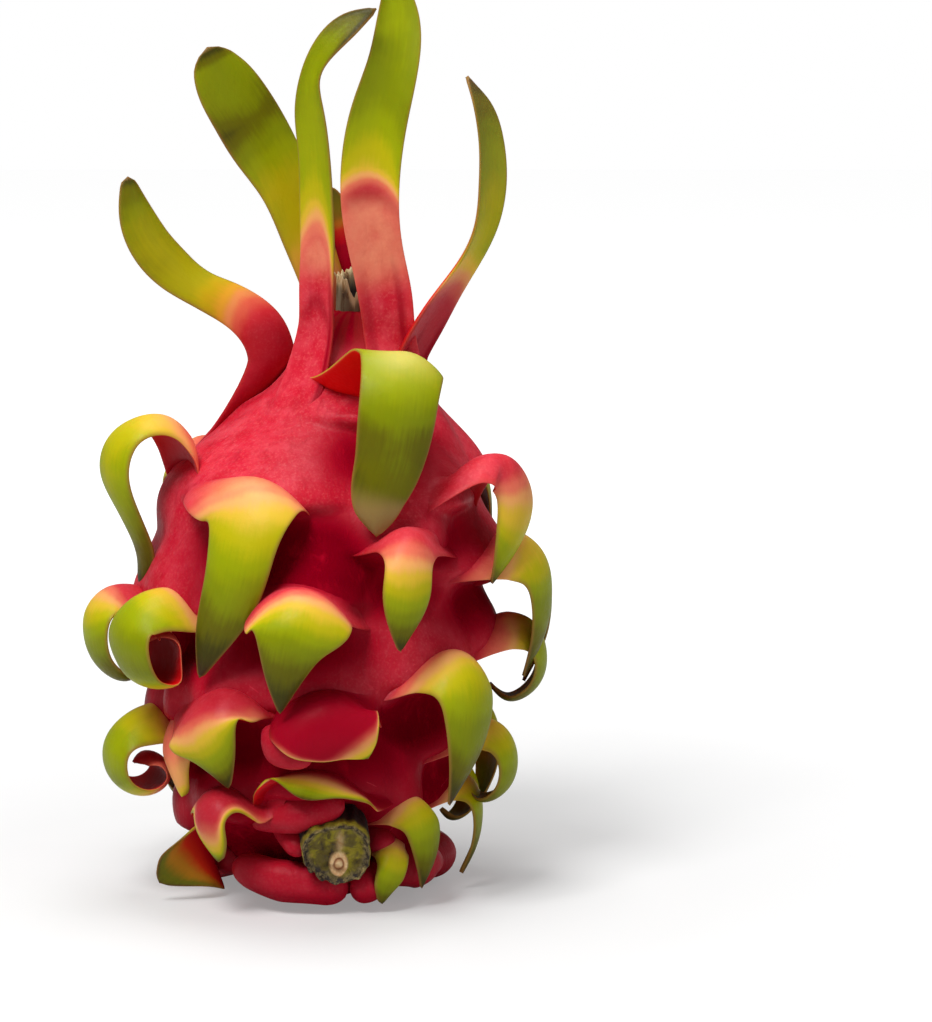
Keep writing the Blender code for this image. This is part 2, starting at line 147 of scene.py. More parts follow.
# A colour read off in 0..255 screen values, as Blender's linear values
def rgb(red, green, blue):
    share = np.array([red, green, blue]) / 255
    linear = np.where(share < 0.04045, share / 12.92, ((share + 0.055) / 1.055) ** 2.4)
    return (*linear.tolist(), 1.0)


def addNode(tree, kind, **settings):
    node = tree.nodes.new(kind)
    for key, value in settings.items():
        setattr(node, key, value)
    return node


# Sets sockets by name or number: a value is set, and another node's socket is linked
def feed(tree, node, inputs):
    for key, value in inputs.items():
        socket = node.inputs[key]
        if isinstance(value, bpy.types.NodeSocket):
            tree.links.new(value, socket)
        else:
            socket.default_value = value
    return node


def mathNode(tree, operation, a, b=0.0, clamp=False):
    node = addNode(tree, "ShaderNodeMath", operation=operation, use_clamp=clamp)
    return feed(tree, node, {0: a, 1: b}).outputs[0]


def mixColours(tree, share, a, b):
    node = addNode(tree, "ShaderNodeMix", data_type="RGBA", clamp_factor=True)
    return feed(tree, node, {0: share, 6: a, 7: b}).outputs[2]


def rangeNode(tree, value, low, high, toLow=0.0, toHigh=1.0):
    node = addNode(tree, "ShaderNodeMapRange", clamp=True)
    return feed(tree, node, {0: value, 1: low, 2: high, 3: toLow, 4: toHigh}).outputs[0]


def noiseNode(tree, vector, scale, detail=2.0, rough=0.5, distortion=0.0):
    node = addNode(tree, "ShaderNodeTexNoise")
    return feed(tree, node, {"Vector": vector, "Scale": scale, "Detail": detail, "Roughness": rough,
                             "Distortion": distortion}).outputs[0]


def stretch(tree, vector, size):
    node = addNode(tree, "ShaderNodeMapping")
    return feed(tree, node, {"Vector": vector, "Scale": size}).outputs[0]


def rampNode(tree, value, stops):
    node = addNode(tree, "ShaderNodeValToRGB")
    node.color_ramp.interpolation = "EASE"
    while len(node.color_ramp.elements) < len(stops):
        node.color_ramp.elements.new(0.5)
    for element, (place, colour) in zip(node.color_ramp.elements, stops):
        element.position = place
        element.color = colour
    tree.links.new(value, node.inputs[0])
    return node.outputs[0]


def attributeNode(tree, name):
    return addNode(tree, "ShaderNodeAttribute", attribute_name=name).outputs["Fac"]


# A new material with its node tree, its shader and the place in the object's own coordinates
def newMaterial(name):
    made = bpy.data.materials.new(name)
    made.use_nodes = True
    tree = made.node_tree
    return made, tree, tree.nodes["Principled BSDF"], addNode(tree, "ShaderNodeTexCoord").outputs["Object"]


def newGroup(name, inputs, outputs):
    group = bpy.data.node_groups.new(name, "ShaderNodeTree")
    for key, kind in inputs:
        group.interface.new_socket(key, in_out="INPUT", socket_type=kind)
    for key, kind in outputs:
        group.interface.new_socket(key, in_out="OUTPUT", socket_type=kind)
    return group, addNode(group, "NodeGroupInput").outputs, addNode(group, "NodeGroupOutput")


tones = dict(  # from the skin's pink, through yellow, to the green and the dry tip
    face=[(0.0, rgb(204, 24, 50)), (0.12, rgb(216, 54, 64)), (0.23, rgb(232, 118, 88)),
          (0.32, rgb(236, 166, 96)), (0.42, rgb(218, 180, 48)), (0.52, rgb(184, 174, 8)),
          (0.62, rgb(150, 159, 0)), (0.72, rgb(129, 138, 0)), (0.82, rgb(102, 99, 0)),
          (0.91, rgb(66, 62, 8)), (1.0, rgb(62, 42, 20))],
    inner=[(0.0, rgb(160, 0, 18)), (0.16, rgb(222, 6, 4)), (0.42, rgb(220, 50, 8)),
           (0.6, rgb(184, 122, 18)), (0.8, rgb(108, 108, 14)), (1.0, rgb(72, 60, 28))],
    # hollow and deep are painted shade, two darker crimsons; crest is a painted highlight on a fold's top
    hollow=rgb(158, 6, 32), deep=rgb(122, 0, 20), pale=rgb(236, 118, 116), rim=rgb(150, 112, 50),
    crestHighlight=rgb(246, 222, 132), line=rgb(168, 10, 34), patch=rgb(220, 72, 86), mottle=rgb(186, 10, 34),
    salmon=rgb(234, 142, 108), dry=rgb(152, 122, 74),
)


# Colour of skin and scales: ripeness runs along two ramps, one for the face that shows and one for the
# inner side; hollows take painted shade in two steps of darker crimson, a fold's crest takes a painted
# highlight, the rim is a pale brown line, and fine flecks lighten the pink
def makeSkinTone():
    group, given, out = newGroup(
        "skinTone",
        [("Position", "NodeSocketVector"), ("Ripe", "NodeSocketFloat"), ("Inside", "NodeSocketFloat"),
         ("Hollow", "NodeSocketFloat"), ("Edge", "NodeSocketFloat"), ("Vein", "NodeSocketFloat"),
         ("Salmon", "NodeSocketFloat"), ("Dry", "NodeSocketFloat"), ("CrestHighlight", "NodeSocketFloat")],
        [("Color", "NodeSocketColor"), ("Pink", "NodeSocketFloat")],
    )
    place = given["Position"]
    broad = noiseNode(group, place, 55.0, 3.0, 0.55)
    patch = noiseNode(group, place, 210.0, 3.0, 0.6)
    fleck = noiseNode(group, place, 1500.0, 2.0, 0.6)
    shift = rangeNode(group, broad, 0.0, 1.0, -0.11, 0.11)
    shifted = mathNode(group, "MULTIPLY", shift, rangeNode(group, given["Ripe"], 0.0, 0.3))
    veined = mathNode(group, "MULTIPLY", given["Vein"], rangeNode(group, given["Ripe"], 0.1, 0.6))
    moved = mathNode(group, "ADD", given["Ripe"], shifted)
    streaked = mathNode(group, "ADD", moved, veined, clamp=True)
    face = rampNode(group, streaked, tones["face"])
    inner = rampNode(group, streaked, tones["inner"])
    pinkness = rangeNode(group, given["Ripe"], 0.0, 0.35, 1.0, 0.0)
    mottle = noiseNode(group, place, 130.0, 4.0, 0.65)
    patched = mathNode(group, "MULTIPLY", rangeNode(group, patch, 0.38, 0.68, 0.0, 0.7), pinkness)
    mottled = mathNode(group, "MULTIPLY", rangeNode(group, mottle, 0.48, 0.68, 0.0, 0.6), pinkness)
    flecks = mathNode(group, "MULTIPLY", rangeNode(group, fleck, 0.5, 0.75, 0.0, 0.3), pinkness)
    warm = mixColours(group, patched, face, tones["patch"])
    darker = mixColours(group, mottled, warm, tones["mottle"])
    flecked = mixColours(group, flecks, darker, tones["pale"])
    salmonShare = mathNode(group, "MULTIPLY", given["Salmon"], rangeNode(group, patch, 0.3, 0.7, 0.6, 1.0))
    salmon = mixColours(group, salmonShare, flecked, tones["salmon"])
    early = mixColours(group, pinkness, flecked, salmon)
    both = mixColours(group, given["Inside"], early, inner)
    # A painted highlight on a fold's crest
    highlighted = mixColours(group, given["CrestHighlight"], both, tones["crestHighlight"])
    # Painted shade: a darker crimson, and a deeper one where the shade is strongest
    hollowed = mixColours(group, rangeNode(group, given["Hollow"], 0.0, 0.6), highlighted, tones["hollow"])
    deep = mixColours(group, rangeNode(group, given["Hollow"], 0.6, 1.0), hollowed, tones["deep"])
    dried = mixColours(group, given["Dry"], deep, tones["dry"])
    rim = mathNode(group, "MULTIPLY", given["Edge"], rangeNode(group, given["Ripe"], 0.25, 0.6, 0.1, 0.7))
    rimmed = mixColours(group, rim, dried, tones["rim"])
    feed(group, out, {"Color": rimmed, "Pink": pinkness})
    return group


skinToneGroup = makeSkinTone()


# The waxy skin: its tone group feeds the colour, and fine grain, wrinkles and veins feed the bump
def makeSkin(name, wrinkle, veins):
    made, tree, shader, place = newMaterial(name)
    lay = addNode(tree, "ShaderNodeUVMap", uv_map="lay").outputs[0]
    veinNoise = noiseNode(tree, stretch(tree, lay, (1.0, 0.05, 1.0)), 1.3, 3.0, 0.6)
    vein = rangeNode(tree, veinNoise, 0.3, 0.7, -veins, veins)
    tone = addNode(tree, "ShaderNodeGroup", node_tree=skinToneGroup)
    feed(tree, tone, {"Position": place, "Vein": vein, "Ripe": attributeNode(tree, "ripe"),
                      "Inside": attributeNode(tree, "inside"), "Hollow": attributeNode(tree, "hollow"),
                      "Edge": attributeNode(tree, "edge"), "Salmon": attributeNode(tree, "salmon"),
                      "Dry": attributeNode(tree, "dry"), "CrestHighlight": attributeNode(tree, "crestHighlight")})
    upright = noiseNode(tree, stretch(tree, place, (1.0, 1.0, 0.3)), 260.0, 4.0, 0.6, 0.6)
    grain = noiseNode(tree, place, 1100.0, 2.0, 0.6)
    lineShare = rangeNode(tree, upright, 0.54, 0.7, 0.0, wrinkle * 0.75)
    lines = mathNode(tree, "MULTIPLY", lineShare, tone.outputs["Pink"])
    lined = mixColours(tree, lines, tone.outputs["Color"], tones["line"])
    relief = mathNode(tree, "ADD", mathNode(tree, "MULTIPLY", upright, wrinkle),
                      mathNode(tree, "MULTIPLY", grain, 0.12))
    relief = mathNode(tree, "ADD", relief, mathNode(tree, "MULTIPLY", veinNoise, veins * 3))
    bump = addNode(tree, "ShaderNodeBump")
    feed(tree, bump, {"Strength": 0.6, "Distance": 0.0007, "Height": relief})
    roughness = rangeNode(tree, grain, 0.3, 0.7, 0.34, 0.5)
    sheen = rangeNode(tree, attributeNode(tree, "hollow"), 0.3, 0.8, 0.12, 0.0)
    feed(tree, shader, {"Base Color": lined, "Roughness": roughness, "Normal": bump.outputs[0],
                        "Subsurface Weight": 0.12, "Subsurface Radius": (1.0, 0.25, 0.15),
                        "Subsurface Scale": 0.003, "Specular IOR Level": sheen})
    return made


bodySkin = makeSkin("bodySkin", 0.7, 0.0)
scaleSkin = makeSkin("scaleSkin", 0.3, 0.015)
print("skin materials made")


# The scales' places

# azimuth is the side it grows on, in degrees (270 is the front); path is the line its middle follows, half
# is half its width at those points and twist turns it, in degrees; tone gives how far along it starts to
# turn, is yellow, green and dry, or ripe gives that as stops of (how far along, ripeness). Salmon, flush and
# dryFrom say how far along those colours lie and crestHighlight where and how strong a painted highlight
# lies on the fold; crimsonShade, a darker crimson that is partly painted shade, brown and marginTone say how
# strong they are; a higher marginPower keeps the margin's tone closer to the margin, and arched bends the
# colours over the width. Names with inner belong to the inner side, where innerShade is painted shade near
# the root, and deep, shadeTint, shade, shadeTurn, below and hill to the skin round its seat, whose hollow is
# cut in and painted with shade
straps = dict(
    left=dict(
        azimuth=112, innerTone=0.3, drop=(0, 9), crimsonShade=0.3,
        ripe=[(0, 0), (0.3, 0.06), (0.4, 0.28), (0.47, 0.48), (0.55, 0.6), (0.85, 0.66), (0.96, 0.82),
              (1, 1)],
        path=[(-11.5, 19, 119), (-10.8, 16.5, 130), (-13.2, 14.3, 139), (-19.5, 12.7, 145.3),
              (-26.5, 11.5, 149.3), (-34, 11, 154), (-40, 10, 160), (-44.2, 10, 168), (-46.8, 11, 178)],
        half=[9, 6.4, 6.2, 5.8, 5.6, 5.8, 5.8, 4.8, 1.6]),
    upperLeft=dict(
        azimuth=115, innerTone=0.0,
        ripe=[(0, 0.12), (0.2, 0.34), (0.35, 0.5), (0.5, 0.5), (0.6, 0.6), (0.74, 0.84), (0.85, 0.7),
              (0.94, 0.7), (1, 0.95)],
        path=[(6, 24, 136), (2.5, 26, 149), (-2.5, 26, 163), (-7.5, 24, 176),
              (-12.8, 22, 186), (-19, 20, 196), (-24, 18, 204), (-27, 17, 210)],
        half=[7, 6.4, 6.8, 7.6, 8.8, 8.8, 7.2, 3.8]),
    middle=dict(
        azimuth=238, salmon=(0.22, 0.42), flush=0.19, arched=0.09,
        ripe=[(0, 0), (0.33, 0.05), (0.4, 0.3), (0.46, 0.5), (0.55, 0.6), (0.75, 0.66), (0.9, 0.76),
              (1, 0.95)],
        path=[(0.5, 6, 129), (1.4, 5, 140), (1.2, 4, 151), (1.5, 3, 161), (1.2, 2, 172), (0.6, 1, 185),
              (-0.2, 0, 195), (0.2, -1, 204), (4.6, -2, 211.5), (10, -2, 216.3), (15.8, -2, 219.6)],
        half=[7, 5.2, 5, 5.1, 5, 4.8, 4.5, 3.0, 3.6, 3.2, 0.6], twist=[0, 0, 0, 0, 30]),
    tallest=dict(
        azimuth=282, salmon=(0.2, 0.46), flush=0.455, arched=0.035,
        ripe=[(0, 0), (0.45, 0.04), (0.48, 0.2), (0.52, 0.48), (0.57, 0.56), (0.7, 0.71), (0.86, 0.68),
              (1, 0.68)],
        path=[(19.5, 4, 127), (18.5, 4, 138), (17.5, 3, 148), (15.6, 2, 158), (13.9, 1, 169),
              (14, 1, 181), (16.2, 2, 194), (19.5, 4, 206), (20.8, 7, 218), (19.5, 10, 230)],
        half=[8, 6.6, 6.8, 6.8, 7.1, 7.4, 7.3, 6.4, 5.2, 1.4]),
    right=dict(
        azimuth=326, brown=0.22, crimsonShade=0.4,
        ripe=[(0, 0), (0.3, 0.08), (0.42, 0.3), (0.5, 0.5), (0.66, 0.56), (0.82, 0.66), (0.93, 0.84),
              (1, 1)],
        path=[(19.5, 10, 122), (22, 8.5, 131.5), (26.6, 7, 140.5), (31.8, 6, 148.5), (37.6, 5, 157),
              (41.3, 4, 165), (43, 3, 177), (43, 3, 188), (41, 3, 197), (38, 4, 203)],
        half=[8, 7.2, 7.4, 6.6, 5.4, 5.4, 6, 5.2, 3.6, 0.5]),
    rear=dict(
        azimuth=80, innerShade=1.6, innerUntil=1.0,
        ripe=[(0, 0), (0.62, 0.0), (0.8, 0.72), (1, 0.92)],
        path=[(9, 29, 133), (9, 31.5, 146), (8, 33, 156), (5.5, 33, 165), (2, 32, 174.5)],
        half=[7, 5.5, 5.5, 5, 1.6]),
)
draped = dict(
    frontUpper=dict(
        azimuth=284, arch=(-0.42, 0.35), rise=7, dryFrom=0.84, crestHighlight=(0.38, 0.45),
        ripe=[(0, 0), (0.05, 0.2), (0.12, 0.5), (0.3, 0.56), (0.48, 0.6), (0.68, 0.77), (0.9, 0.84),
              (1, 0.9)],
        root=(16.5, 12.5), drop=(-7.5, 5), lag=(0.1, 0.45), innerShade=0.1, innerRipe=0.4,
        path=[(14.5, -3, 121), (18.5, -14, 131.5), (22, -23, 136.5), (22.5, -31, 132), (21.5, -35, 121),
              (19.5, -35, 111), (17, -36, 103), (16.5, -36, 97.5), (16, -35, 94)],
        half=[15, 12.5, 10.5, 9.8, 9.6, 8.4, 6.6, 4, 0.5]),
    leftLoop=dict(
        azimuth=214, tone=(0.14, 0.38, 0.76, 0.95),
        root=(15, 15), deep=0.15, below=12, hill=0.65,
        path=[(-27, 3, 102.5), (-31.5, -2, 112.5), (-37, -6, 119), (-43.5, -9, 118.5), (-49, -11, 113),
              (-50, -12, 106), (-47.5, -11, 98), (-44.8, -8, 91), (-43, -5, 84), (-43.5, -3, 77)],
        half=[13, 9.5, 7.2, 7, 7, 6.6, 5.4, 4.6, 4, 2]),
    frontLeft=dict(
        azimuth=246, tone=(0.2, 0.4, 0.64, 0.9), root=(20, 34), drop=(3, 4), arch=(0.2, 0.45), shade=1.8,
        shadeTurn=0.42, shadeTint=1.75, crestHighlight=(0.24, 0.3),
        path=[(-13.5, -16, 101.5), (-15, -26, 106.5), (-15, -36, 102.5), (-17, -41, 92.5),
              (-19.5, -42, 81), (-23.5, -39, 69.5), (-26.5, -35, 59.5)],
        half=[20, 16, 12, 9.2, 7.8, 4.8, 0.6]),
    frontMiddle=dict(
        azimuth=268, tone=(0.28, 0.44, 0.6, 0.82), root=(13, 21), drop=(4, 8),
        path=[(-3.5, -34, 77.5), (-2.5, -45, 82.5), (-2, -53, 79), (-3.5, -56, 71),
              (-5.5, -53, 61), (-6.5, -49, 53.5)],
        half=[14, 13, 12, 8.6, 4.2, 0.5]),
    frontRight=dict(
        azimuth=292, tone=(0.34, 0.6, 0.8, 0.95), root=(17, 18), drop=(2, 5),
        path=[(22, -24, 90), (23.5, -34, 95.5), (24.5, -41, 91.5), (24, -44, 80), (22, -40, 67)],
        half=[13, 8.5, 6.2, 6, 0.8]),
    rightArch=dict(
        azimuth=328, tone=(0.42, 0.7, 0.9, 0.98), root=(9, 16), drop=(3, 5), hill=0.7,
        path=[(30, -14, 100), (38.5, -14, 108.5), (46.5, -14, 110), (50.5, -14, 104),
              (51, -15, 95), (48, -16, 86), (44, -16, 79.5)],
        half=[14, 9.5, 8, 7.5, 7, 4.8, 0.8]),
    rightShoulder=dict(
        azimuth=12, tone=(0.3, 0.6, 0.8, 0.95), hill=0.5, rise=5,
        path=[(29, 14, 104), (35.5, 17, 109), (39.5, 20, 106.5), (43, 22, 99), (44, 22, 90)],
        half=[12, 10, 8, 6.5, 1]),
    leftCurl=dict(
        azimuth=212, root=(13, 16), innerRipe=0.3, innerShade=0.3,
        ripe=[(0, 0), (0.12, 0.1), (0.22, 0.44), (0.34, 0.62), (0.55, 0.74), (0.66, 0.4), (0.74, 0.14),
              (1, 0.12)],
        path=[(-27.5, -12, 74.5), (-34, -21, 78), (-41.5, -27, 77), (-46, -30, 70.5),
              (-45, -31, 62.5), (-40.5, -28, 56.5), (-36, -25.5, 56.5), (-34.5, -24, 62.5),
              (-35.5, -24, 68.5), (-39.5, -25, 70), (-41.3, -26, 66)],
        half=[15, 11.5, 10.5, 10.8, 10.4, 10, 10, 9.4, 8.6, 7, 4]),
    leftCurlRear=dict(
        azimuth=204, tone=(0.3, 0.46, 0.62, 0.92), root=(11, 11), innerRipe=0.6,
        path=[(-35, 2, 72), (-43, -3, 75.5), (-51, -7, 76), (-55.2, -10, 71), (-55.7, -11, 64.5),
              (-53, -10, 57.5), (-47.5, -8, 54), (-42.5, -6, 56)],
        half=[12, 9.5, 8.8, 8.8, 8.4, 7, 4.8, 1.0]),
    lowLeftLoop=dict(
        azimuth=200, root=(12, 14), innerRipe=0.4,
        ripe=[(0, 0), (0.12, 0.1), (0.24, 0.44), (0.38, 0.62), (0.58, 0.7), (0.68, 0.4), (0.76, 0.14),
              (1, 0.12)],
        path=[(-30, -2, 43.5), (-38.5, -8, 47), (-47, -12, 44), (-51, -14, 37.5), (-50.3, -14, 31),
              (-45.5, -13, 26.6), (-39.8, -11, 27), (-37, -10, 31), (-38.8, -10, 34.8),
              (-42.8, -10.5, 35.4), (-45.2, -11, 33.4)],
        half=[12, 10.5, 10, 9.8, 9.4, 9, 9, 8.8, 8, 6.6, 4]),
    lowLeftRear=dict(
        azimuth=150, tone=(0.16, 0.34, 0.5, 0.9),
        path=[(-27, 14, 31), (-34, 18, 30), (-37.5, 21, 26), (-37, 21, 20), (-34, 19, 16)],
        half=[9, 7, 6, 4.8, 1.2]),
    lowFrontLeft=dict(
        azimuth=238, tone=(0.46, 0.66, 0.84, 0.94), root=(13, 17), crimsonShade=0.3, drop=(6, 2),
        marginTone=0.3, lean=0.4,
        path=[(-18.5, -24, 52), (-21.5, -34, 56), (-24, -40, 53), (-25, -43, 48.5),
              (-22.5, -42, 41), (-19.6, -38, 33)],
        half=[14, 13, 11.5, 9, 5.2, 0.6], twist=[0, -12, -12]),
    lowLeftFlap=dict(
        azimuth=222, ripe=[(0, 0), (0.3, 0.14), (0.9, 0.3), (1, 0.5)], root=(7, 7), rise=5,
        path=[(-25, -16, 48), (-31.5, -23, 47.5), (-34, -27, 40.5), (-31.5, -28, 28.5)],
        half=[8, 7, 5.6, 1.6]),
    lowFront=dict(
        azimuth=278, tone=(0.75, 0.97, 0.985, 1.0), root=(14, 17), drop=(5, 5), marginTone=0.35,
        marginPower=18, shade=1.4, crimsonShade=0.62,
        path=[(4, -34, 53), (4, -44, 57), (6, -48.5, 54), (9, -50, 49.5), (12, -49.5, 45.5),
              (14.5, -47.5, 42.5)],
        half=[15, 14, 12.5, 10, 6.6, 1.6]),
    baseLeft=dict(
        azimuth=226, tone=(0.68, 0.92, 0.96, 0.99), root=(10, 20), drop=(5, -8), crimsonShade=0.35,
        marginTone=0.6, marginPower=6,
        path=[(-15.5, -19, 24.5), (-20, -30, 30.5), (-23.5, -36, 30.5), (-25, -39, 26),
              (-24, -39, 20), (-22, -37, 14.5)],
        half=[13, 10.5, 7.4, 5.4, 4.4, 0.8]),
    overStalk=dict(
        azimuth=265, tone=(0.6, 0.85, 0.95, 0.99), root=(15, 18), drop=(8, 4), rise=6, arch=(0.25, 0.35),
        marginTone=0.6, marginPower=12, innerRipe=0.2, innerShade=0.2, crimsonShade=0.6,
        path=[(2, -28, 31), (1, -37, 36.5), (0, -42, 36), (-1.5, -44.5, 31.5)],
        half=[17, 15, 13.5, 8]),
    besideStalk=dict(
        azimuth=300, tone=(0.2, 0.5, 0.8, 0.97), root=(5, 5),
        path=[(17, -20, 16), (19.5, -27.5, 17), (20, -31.5, 13), (18.5, -32.5, 7), (17, -31, 2.5)],
        half=[5.4, 4.6, 3.8, 3.2, 0.8]),
    footLeft=dict(
        azimuth=200, tone=(0.4, 0.6, 0.8, 0.98), root=(10, 10), crimsonShade=0.8, innerShade=0.9,
        innerUntil=0.8, drop=(2, 2), marginTone=0.7, marginPower=4,
        path=[(-22, -8, 18.5), (-27, -15, 16), (-31, -19, 12), (-35, -20, 8), (-38.4, -20, 5)],
        half=[12, 10.6, 8.6, 5.6, 1.2], twist=[60, 84]),
)

# Where the fruit turns away, scales follow a rule: staggered tiers of (height, size, azimuths), and each
# scale has one of two habits, a line given as (outwards, upwards) from the skin where it grows
rearTiers = [
    (122, 0.95, [80]),
    (104, 1.1, [50, 95, 140]),
    (84, 1.05, [340, 15, 54, 93, 131]),
    (62, 1.0, [320, 2, 47, 92, 137]),
    (41, 0.85, [342, 27, 72, 117]),
    (24, 0.7, [308, 350, 30, 68, 104, 138]),
]
habits = dict(
    drape=dict(line=[(-5, -2), (6, 4.5), (13, 1), (16, -9), (14.5, -20), (10, -30)],
               half=[14, 12, 9.5, 7.5, 4.6, 0.6]),
    curl=dict(line=[(-5, -2), (6, 3.5), (14, 2), (18, -6), (15.5, -15), (9, -18), (4.5, -14)],
              half=[13, 10, 8.5, 7.6, 6, 3.6, 0.6]),
)
rearSeed = 7
lowestRear = 2.0

body = dict(
    outline=[(0, -1.5), (12, -1.4), (19.5, 1.5), (25.5, 9), (30, 21), (34.5, 37), (38.5, 57), (41, 80),
             (40, 96), (36, 106), (31, 112.5), (25.5, 118), (20, 123.5), (15, 130), (11.5, 137),
             (7.5, 142.5), (0, 144.5)],
    axis=[(-2, 0, 0), (30, -1, 0.5), (60, 0, 4), (90, 1.5, 9), (110, 4.5, 13), (125, 7.5, 16),
          (150, 10, 21)],
    around=300, rings=260,
    swell=6.5, swellLong=13.0, swellShort=3.5, swellWidth=1.05,
    hollow=4.0, hollowDrop=9, hollowLong=7, hollowWide=1.25, neckRidge=0.4, hill=1.0, strapHill=0.55,
    unrolled=30, lowShade=0.4, neckShade=0.8, neckDry=0.05,
)
outlineFine = spline(chordKnots(body["outline"]), body["outline"], np.linspace(0, 1, 900))
outlineFine[:, 1] = np.maximum.accumulate(outlineFine[:, 1])
axisLine = np.array(body["axis"], float)


def bodyCentre(height):
    flat = np.clip(np.ravel(height), axisLine[0, 0], axisLine[-1, 0])
    return spline(axisLine[:, 0], axisLine[:, 1:], flat).reshape(*np.shape(height), 2)


def bareRadius(height):
    return np.interp(height, outlineFine[:, 1], np.maximum(outlineFine[:, 0], 0))


# A point out from the bare skin and up from this place on it
def onSkin(azimuth, height, out, up):
    x, y = bodyCentre(np.array([float(height)]))[0]
    reach = np.interp(height, *np.array(body["outline"], float).T[::-1]) + out
    turn = math.radians(azimuth)
    return (x + reach * math.cos(turn), y + reach * math.sin(turn), height + up)


def rearScales():
    draw = np.random.default_rng(rearSeed)
    made = {}
    for tier, (height, size, azimuths) in enumerate(rearTiers):
        for place, azimuth in enumerate(azimuths):
            habit = habits["curl" if (tier + place) % 3 == 1 else "drape"]
            turn = azimuth + draw.uniform(-4, 4)
            lift = height + draw.uniform(-2.5, 2.5)
            grown = size * draw.uniform(0.92, 1.1)
            lean = draw.uniform(-9, 9)
            path = [onSkin(turn + lean * share, lift, out * grown, up * grown)
                    for share, (out, up) in zip(np.linspace(0, 1, len(habit["line"])), habit["line"])]
            path = [(x, y, max(z, lowestRear)) for x, y, z in path]
            half = [width * grown for width in habit["half"]]
            made[f"rear{tier}{place}"] = dict(azimuth=turn, path=path, half=half)
    return made


rear = rearScales()
hanging = {**draped, **rear}


# Azimuth in radians and height of the place on the skin where a scale grows
def seatOf(scale):
    x, y, z = scale["path"][0]
    cx, cy = bodyCentre(np.array([float(z)]))[0]
    return math.atan2(y - cy, x - cx), z


# How far the skin stands out towards the scales, how far it lies in the hollow under each hanging one, and
# that hollow's painted shade, a darker crimson: every scale adds a soft hill over its seat, hills that meet
# are joined by a fourth-power sum, and each hollow is a bell over aside and under, which the hills wipe out,
# the painted shade only in part
def reliefAt(azimuth, height, radius):
    swell = np.zeros(np.shape(azimuth))
    hollow = np.zeros(np.shape(azimuth))
    shadeTint = np.zeros(np.shape(azimuth))
    for scales, above, below, hill in ((hanging, body["swellLong"], body["swellShort"], body["hill"]),
                                       (straps, body["swellShort"], body["swellLong"], body["strapHill"])):
        for scale in scales.values():
            turn, level = seatOf(scale)
            wide = body["swellWidth"] * scale["half"][0]
            aside = radius * np.angle(np.exp(1j * (azimuth - turn))) / wide
            rise = height - level
            along = rise / np.where(rise > 0, above, scale.get("below", below))
            swell += scale.get("hill", hill) ** 4 * np.exp(-4 * (aside**2 + along**2))
            if scales is hanging:
                shade = scale.get("shade", 1.15)
                under = (rise + body["hollowDrop"] * shade) / (body["hollowLong"] * shade)
                shifted = aside - radius * scale.get("shadeTurn", 0) / wide
                deep = np.exp(-(shifted / body["hollowWide"])**2 - under**2) * scale.get("deep", 1)
                hollow = np.maximum(hollow, deep)
                # Painted shade in the hollow under the scale, a darker crimson
                shadeTint = np.maximum(shadeTint, deep * scale.get("shadeTint", 1))
    raised = smoothStep(swell ** 0.25 * 1.2)
    return swell ** 0.25, hollow * (1 - raised), shadeTint * (1 - 0.45 * raised)


# The skin and the painted shade of its hollows, a darker crimson: the body's outline turned about its bent
# axis, out by the swelling and in by the hollows; round the neck it runs up in soft ridges
def skinPoints(azimuth, height, radius=None):
    radius = bareRadius(height) if radius is None else radius
    swell, hollow, shadeTint = reliefAt(azimuth, height, radius)
    ridges = wobble(7 * azimuth, 0.05 * height, 3) * smoothStep((height - 100) / 30)
    out = body["swell"] * swell - body["hollow"] * hollow + body["neckRidge"] * ridges
    reach = radius + out * np.clip(radius / 10, 0, 1)
    centre = bodyCentre(height)
    x = centre[..., 0] + reach * np.cos(azimuth)
    y = centre[..., 1] + reach * np.sin(azimuth)
    return np.stack([x, y, height], -1), shadeTint


def skinNormals(azimuth, height):
    turn, lift = 0.01, 0.3
    aroundStep = skinPoints(azimuth + turn, height)[0] - skinPoints(azimuth - turn, height)[0]
    upStep = skinPoints(azimuth, height + lift)[0] - skinPoints(azimuth, height - lift)[0]
    return unit(np.cross(aroundStep, upStep))


def makeBody():
    azimuth = np.linspace(-math.pi, math.pi, body["around"], endpoint=False)[None, :]
    openEnd = 0.004
    share = np.linspace(openEnd, 1 - openEnd, body["rings"])
    rows = spline(chordKnots(body["outline"]), body["outline"], share)
    height = np.broadcast_to(rows[:, 1:], (len(share), body["around"]))
    radius = np.broadcast_to(np.maximum(rows[:, :1], 0.05), height.shape)
    azimuth = np.broadcast_to(azimuth, height.shape)
    points, shadeTint = skinPoints(azimuth, height, radius)
    points[..., 2] = np.maximum(points[..., 2], 0)
    uv = np.stack([azimuth * body["unrolled"], height], -1)
    neck = smoothStep((height - 124) / 18) * (0.1 + 0.12 * wobble(9 * azimuth, 0.1 * height, 5))
    # Painted shade on the body: darker towards the bottom and over the top of the neck, added to the painted
    # shade of the hollows
    low = body["lowShade"] * smoothStep((88 - height) / 50)
    high = body["neckShade"] * smoothStep((height - 129) / 10)
    streaks = smoothStep(0.5 + 0.9 * wobble(16 * azimuth, 0.05 * height, 6))
    dried = body["neckDry"] * smoothStep((height - 131) / 8) * streaks
    values = dict(ripe=np.clip(neck, 0, 1), hollow=np.clip(shadeTint + low + high, 0, 1), dry=dried)
    return makeTube("bodySkin", points, bodySkin, "fruit", values, uv)


# Scales

# Unless a scale says otherwise: rise lifts its root over its seat, root is the root's width against half,
# and for its left and right margin lag peels it later, drop seats it lower and arch lowers it at the fold
blade = dict(
    acrossPoints=26, rows=84, rootThick=3.2, tipThick=0.9, cup=0.25, ruffle=0.5, ruffleLong=7,
    marginDepth=0.4, rise=10.0, root=1.15, lag=(0.45, 0.45), drop=(5.0, 5.0), arch=(0.45, 0.45),
    marginTone=0.1, tone=(0.18, 0.38, 0.62, 0.92), lowestSeat=1.0, highestSeat=142,
)


